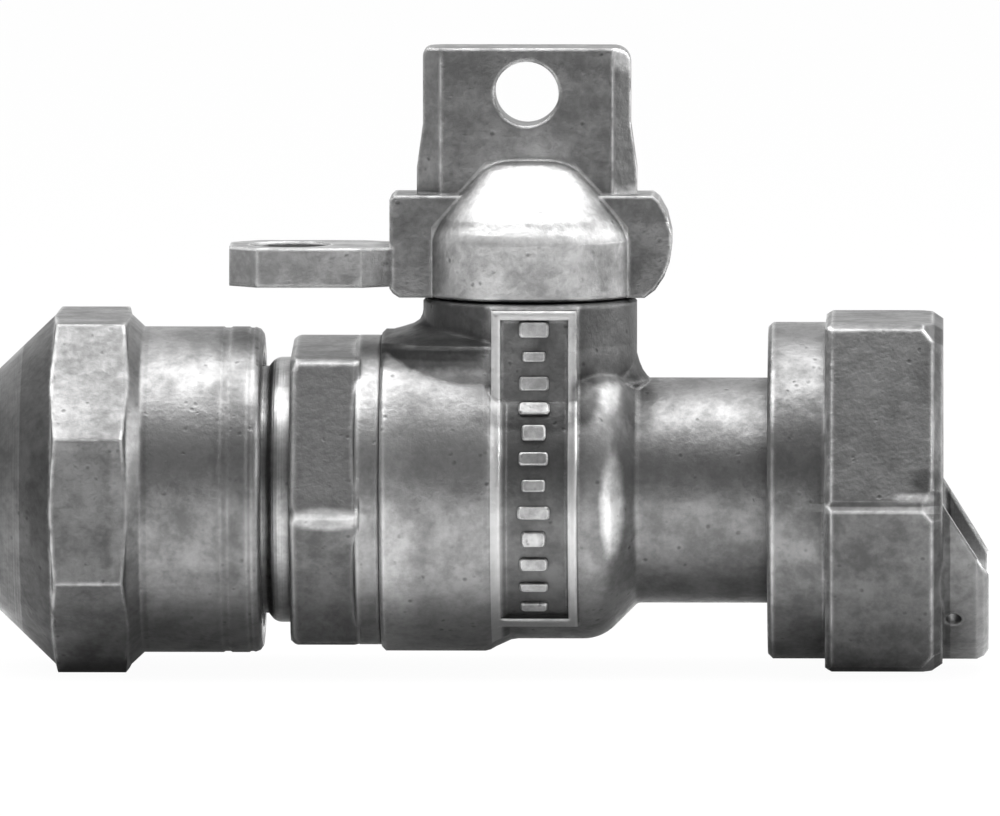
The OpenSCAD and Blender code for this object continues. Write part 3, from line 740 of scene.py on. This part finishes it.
threadRidge = makeThreadTree()
threadPitch = 0.002209  # 11.5 threads an inch
inletStart = ballX - 0.0442
endThread = {
    "Start": inletStart, "Pitch": threadPitch, "Turns": 5.5, "Steps": 330,
    "Root": 0.01506, "Crest": 0.0154, "Foot Width": 0.0012, "Crest Width": 0.00035,
}
nutThread = {
    "Start": inletStart - threadPitch / 2, "Pitch": threadPitch, "Turns": 6.4, "Steps": 380,
    "Root": 0.01549, "Crest": 0.01515, "Foot Width": 0.0012, "Crest Width": 0.00035,
}
meterThread = {
    "Start": 0.0003, "Pitch": threadPitch, "Turns": 3.6, "Steps": 230,
    "Root": 0.01564, "Crest": 0.01532, "Foot Width": 0.0013, "Crest Width": 0.0004,
}
growPiece("end_thread", threadRidge, endThread, turnedBronze, "valve")
growPiece("nut_thread", threadRidge, nutThread, turnedBronze, "inlet_nut")
growPiece("meter_thread_ridge", threadRidge, meterThread, turnedBronze, "meter_nut")
print("threads wound")


panelRibs = {
    "Count": 12, "Seed": 4, "Pitch": 0.00302, "Width": 0.0038, "Length": 0.00152, "Corner": 0.00045,
    "Rise": 0.00042,
    "Bed": 0.0002,  # how deep a rib is sunk in the floor
    "Flat Length": 0.00818, "Top": 0.0190, "Middle": ballX + 0.00067, **panelFloor,
}
ribForm = {
    "smallest": (0.7, 0.75, 1.0), "largest": (1.0, 1.3, 1.0),  # scale along width, length and rise
    "cornerPoints": 4,
    "steps": ((0.72, 0.97), (0.28, 0.86)),  # share of the height, and how much is left of the top's size
}


# A row of plain raised ribs lying flat, each of its own width and length.
def layFlatRibs(tree, given, form):
    outline = addNode(tree, "GeometryNodeCurvePrimitiveQuadrilateral")
    tree.links.new(given["Width"], outline.inputs["Width"])
    tree.links.new(given["Length"], outline.inputs["Height"])
    corners = addNode(tree, "GeometryNodeFilletCurve", mode="POLY")
    corners.inputs["Count"].default_value = form["cornerPoints"]
    tree.links.new(outline.outputs[0], corners.inputs["Curve"])
    tree.links.new(given["Corner"], corners.inputs["Radius"])
    fill = addNode(tree, "GeometryNodeFillCurve", mode="NGONS")
    tree.links.new(corners.outputs[0], fill.inputs["Curve"])
    row = addNode(tree, "GeometryNodeMeshLine")
    tree.links.new(given["Count"], row.inputs["Count"])
    down = joinVector(tree, 0.0, mathNode(tree, "MULTIPLY", given["Pitch"], -1.0))
    tree.links.new(down, row.inputs["Offset"])
    varied = addNode(tree, "FunctionNodeRandomValue", data_type="FLOAT_VECTOR")
    varied.inputs["Min"].default_value = form["smallest"]
    varied.inputs["Max"].default_value = form["largest"]
    tree.links.new(given["Seed"], varied.inputs["Seed"])
    place = addNode(tree, "GeometryNodeInstanceOnPoints")
    tree.links.new(varied.outputs["Value"], place.inputs["Scale"])
    tree.links.new(row.outputs[0], place.inputs["Points"])
    tree.links.new(fill.outputs[0], place.inputs["Instance"])
    flat = addNode(tree, "GeometryNodeRealizeInstances")
    tree.links.new(place.outputs[0], flat.inputs[0])
    return flat.outputs[0]


# Raises the flat outlines in steps, each with a smaller top, and closes them below.
def raiseRibs(tree, given, flat, steps):
    height = mathNode(tree, "ADD", given["Rise"], given["Bed"])
    geometry, top = flat, None
    for share, shrink in steps:
        raised = addNode(tree, "GeometryNodeExtrudeMesh", mode="FACES")
        raised.inputs["Individual"].default_value = False
        tree.links.new(geometry, raised.inputs["Mesh"])
        if top is not None:
            tree.links.new(top, raised.inputs["Selection"])
        tree.links.new(joinVector(tree, 0.0, 0.0, 1.0), raised.inputs["Offset"])
        tree.links.new(mathNode(tree, "MULTIPLY", height, share), raised.inputs["Offset Scale"])
        scale = addNode(tree, "GeometryNodeScaleElements", domain="FACE")
        scale.inputs["Scale"].default_value = shrink
        tree.links.new(raised.outputs["Mesh"], scale.inputs["Geometry"])
        tree.links.new(raised.outputs["Top"], scale.inputs["Selection"])
        geometry, top = scale.outputs[0], raised.outputs["Top"]
    under = addNode(tree, "GeometryNodeFlipFaces")
    tree.links.new(flat, under.inputs[0])
    both = addNode(tree, "GeometryNodeJoinGeometry")
    tree.links.new(geometry, both.inputs[0])
    tree.links.new(under.outputs[0], both.inputs[0])
    return mergeByDistance(tree, both.outputs[0])


# The ribs stand on the panel's floor: flat for Flat Length from the Top, then round about the pipe axis.
def makeRibTree(form):
    sizes = ("Pitch", "Width", "Length", "Corner", "Rise", "Bed",
             "Flat Length", "Front", "Round", "Top", "Middle")
    tree, source, sink = newTree("panelRibs", ("Count", "Seed"), sizes)
    given = source.outputs
    ribs = raiseRibs(tree, given, layFlatRibs(tree, given, form), form["steps"])
    across, down, rise = splitVector(tree, addNode(tree, "GeometryNodeInputPosition").outputs[0])
    down = mathNode(tree, "MULTIPLY", down, -1.0)
    rise = mathNode(tree, "SUBTRACT", rise, given["Bed"])
    past = mathNode(tree, "SUBTRACT", down, given["Flat Length"])
    bend = mathNode(tree, "ARCCOSINE", mathNode(tree, "DIVIDE", given["Front"], given["Round"]))
    angle = mathNode(tree, "SUBTRACT", bend, mathNode(tree, "DIVIDE", past, given["Round"]))
    reach = mathNode(tree, "ADD", given["Round"], rise)
    onRound = mathNode(tree, "GREATER_THAN", past, 0.0)
    x = mathNode(tree, "ADD", across, given["Middle"])
    y = mixFloat(tree, onRound, mathNode(tree, "ADD", given["Front"], rise),
                 mathNode(tree, "MULTIPLY", reach, mathNode(tree, "COSINE", angle)))
    z = mixFloat(tree, onRound, mathNode(tree, "SUBTRACT", given["Top"], down),
                 mathNode(tree, "MULTIPLY", reach, mathNode(tree, "SINE", angle)))
    bent = setPosition(tree, ribs, joinVector(tree, x, mathNode(tree, "MULTIPLY", y, -1.0), z))
    endTree(tree, source, sink, bent)
    return tree


growPiece("panel_ribs", makeRibTree(ribForm), panelRibs, reliefBronze, "valve")
print("panel ribs laid")


# Floor and light

studio = {
    "floorZ": cadBox[0].z,
    "floorSize": 6.0,
    "floorTone": 0.88,
    "floorGlow": 0.965,  # share of white glow in the floor, as the camera sees it
    "floorLift": 0.10,  # the same share, for the light that the floor throws back
    "keyPower": 6.2,
    "keySize": (1.0, 0.36),
    "keyAt": (ballX, 0.0, 0.5),
    "keyAim": (ballX, 0.0, 0.01),
    "sidePower": 5.2,
    "sideSize": (0.24, 0.22),
    "sideAt": (0.655, 0.07, 0.20),
    "sideAim": (ballX, 0.0, 0.05),
    "worldFront": 0.19,
    "worldFrontHigh": 0.38,
    "worldHighStep": (0.35, 0.85),
    "worldRound": 1.05,
    "worldRoundStep": (-0.45, 0.05),
}


# 1 where a ray comes straight from the camera or through glass, and 0 for reflections and light.
def seenDirectly(tree):
    path = addNode(tree, "ShaderNodeLightPath")
    return mathNode(tree, "MAXIMUM", path.outputs["Is Camera Ray"], path.outputs["Is Transmission Ray"])


def mixShaders(tree, factor, first, second, output):
    mix = addNode(tree, "ShaderNodeMixShader")
    for socket, value in zip(mix.inputs, (factor, first, second)):
        tree.links.new(value, socket)
    tree.links.new(mix.outputs[0], output.inputs[0])


def makeFloor(setup):
    half, z = setup["floorSize"] / 2, setup["floorZ"]
    mesh = bpy.data.meshes.new("floor")
    corners = [(-half, -half, z), (half, -half, z), (half, half, z), (-half, half, z)]
    mesh.from_pydata(corners, [], [(0, 1, 2, 3)])
    floor = bpy.data.objects.new("floor", mesh)
    bpy.context.scene.collection.objects.link(floor)
    material, tree, output = newMaterial("paleFloor")
    matt = addNode(tree, "ShaderNodeBsdfDiffuse")
    matt.inputs["Color"].default_value = grey(setup["floorTone"])
    glow = addNode(tree, "ShaderNodeEmission")
    glow.inputs["Color"].default_value = grey(1)
    share = mixFloat(tree, seenDirectly(tree), setup["floorLift"], setup["floorGlow"])
    mixShaders(tree, share, matt.outputs[0], glow.outputs[0], output)
    mesh.materials.append(material)


def makeAreaLight(name, power, size, at, aim):
    data = bpy.data.lights.new(name, "AREA")
    data.shape = "RECTANGLE"
    data.size, data.size_y = size
    data.energy = power
    light = bpy.data.objects.new(name, data)
    light.location = at
    light.rotation_euler = (Vector(aim) - Vector(at)).to_track_quat("-Z", "Y").to_euler()
    bpy.context.scene.collection.objects.link(light)


# Surroundings of a light tent: pale at the sides, behind and above, dim towards the camera.
def makeWorld(setup):
    world = bpy.data.worlds.new("world")
    world.use_nodes = True
    tree = world.node_tree
    tree.nodes.clear()
    output = tree.nodes.new("ShaderNodeOutputWorld")
    y, z = splitVector(tree, addNode(tree, "ShaderNodeTexCoord").outputs["Generated"])[1:]
    front = mapRange(tree, z, *setup["worldHighStep"], setup["worldFront"], setup["worldFrontHigh"])
    level = mixFloat(tree, mapRange(tree, y, *setup["worldRoundStep"]), front, setup["worldRound"])
    soft, white = addNode(tree, "ShaderNodeBackground"), addNode(tree, "ShaderNodeBackground")
    for background in (soft, white):
        background.inputs["Color"].default_value = grey(1)
    tree.links.new(level, soft.inputs["Strength"])
    mixShaders(tree, seenDirectly(tree), soft.outputs[0], white.outputs[0], output)
    bpy.context.scene.world = world


makeFloor(studio)
makeAreaLight("keyLight", studio["keyPower"], studio["keySize"], studio["keyAt"], studio["keyAim"])
makeAreaLight("sideLight", studio["sidePower"], studio["sideSize"], studio["sideAt"], studio["sideAim"])
makeWorld(studio)
bpy.context.scene.view_settings.view_transform = "Standard"
print("floor and lights placed")
